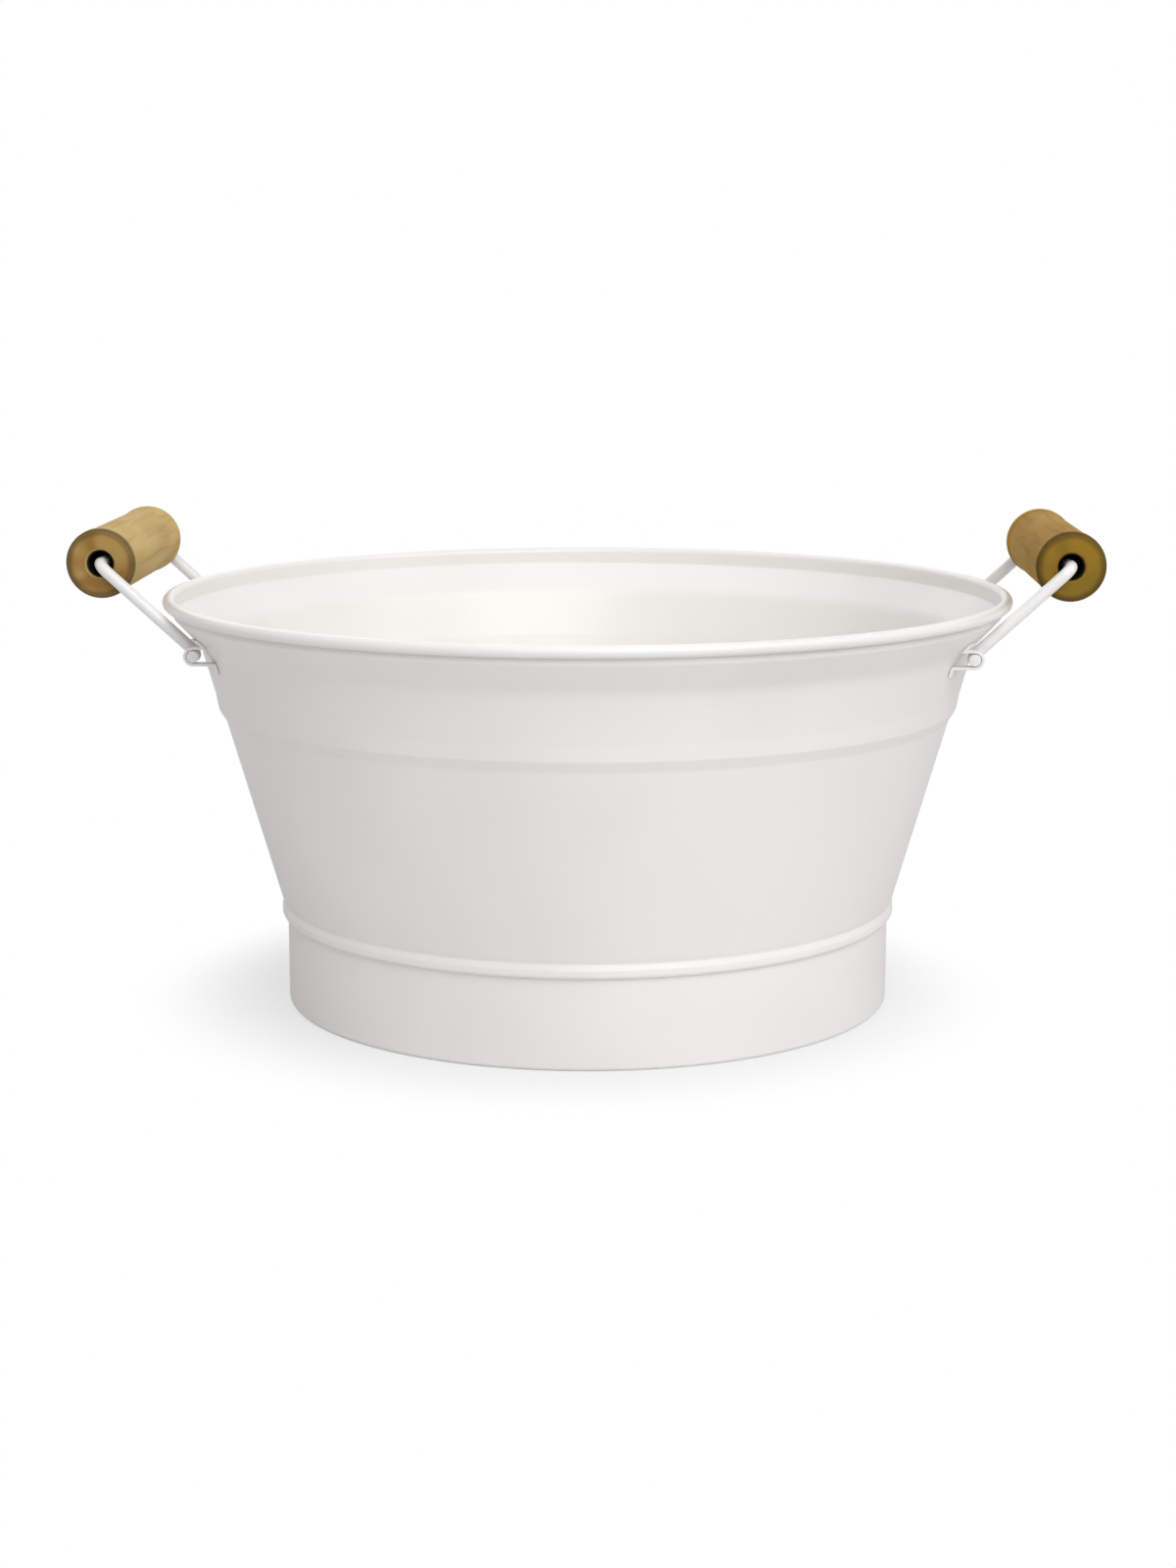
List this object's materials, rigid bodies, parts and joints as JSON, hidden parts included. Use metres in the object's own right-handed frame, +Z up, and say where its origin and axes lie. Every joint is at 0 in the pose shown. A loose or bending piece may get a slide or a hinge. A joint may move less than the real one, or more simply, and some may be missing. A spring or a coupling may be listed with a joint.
{
  "type": "metal bucket",
  "caption": "Round white enamelled metal tub with a rolled rim, swaged band, seamed foot ring and wire side bails with turned wooden grips.",
  "frame": {"origin": "on the table, under the middle of the tub", "axes": "+X to the right-hand bail, -Y to the front, +Z up"},
  "size_m": [0.378, 0.32, 0.1833],
  "materials": {
    "enamel": "glossy white enamel on sheet steel",
    "coated_wire": "white coated steel wire",
    "varnished_wood": "turned and varnished"
  },
  "bodies": {
    "tub": {"tub_wall": "enamel", "tub_floor": "enamel", "foot_ring": "enamel", "ear_right_front": "enamel", "ear_right_rear": "enamel", "ear_left_front": "enamel", "ear_left_rear": "enamel"},
    "bail_right": {"bail_right": "coated_wire"},
    "bail_left": {"bail_left": "coated_wire"},
    "grip_right": {"grip_right": "varnished_wood"},
    "grip_left": {"grip_left": "varnished_wood"}
  },
  "joints": [
    {"name": "bail_right_swing", "type": "hinge", "parent": "tub", "child": "bail_right", "pos_m": [0.14102, 0, 0.1382], "axis": [0, 1, 0], "range_deg": [-4, 126]},
    {"name": "grip_right_spin", "type": "hinge", "parent": "bail_right", "child": "grip_right", "pos_m": [0.17621, 0, 0.17056], "axis": [0, 1, 0], "continuous": true},
    {"name": "bail_left_swing", "type": "hinge", "parent": "tub", "child": "bail_left", "pos_m": [-0.14102, 0, 0.1382], "axis": [0, -1, 0], "range_deg": [-4, 126]},
    {"name": "grip_left_spin", "type": "hinge", "parent": "bail_left", "child": "grip_left", "pos_m": [-0.17621, 0, 0.17056], "axis": [0, 1, 0], "continuous": true}
  ]
}
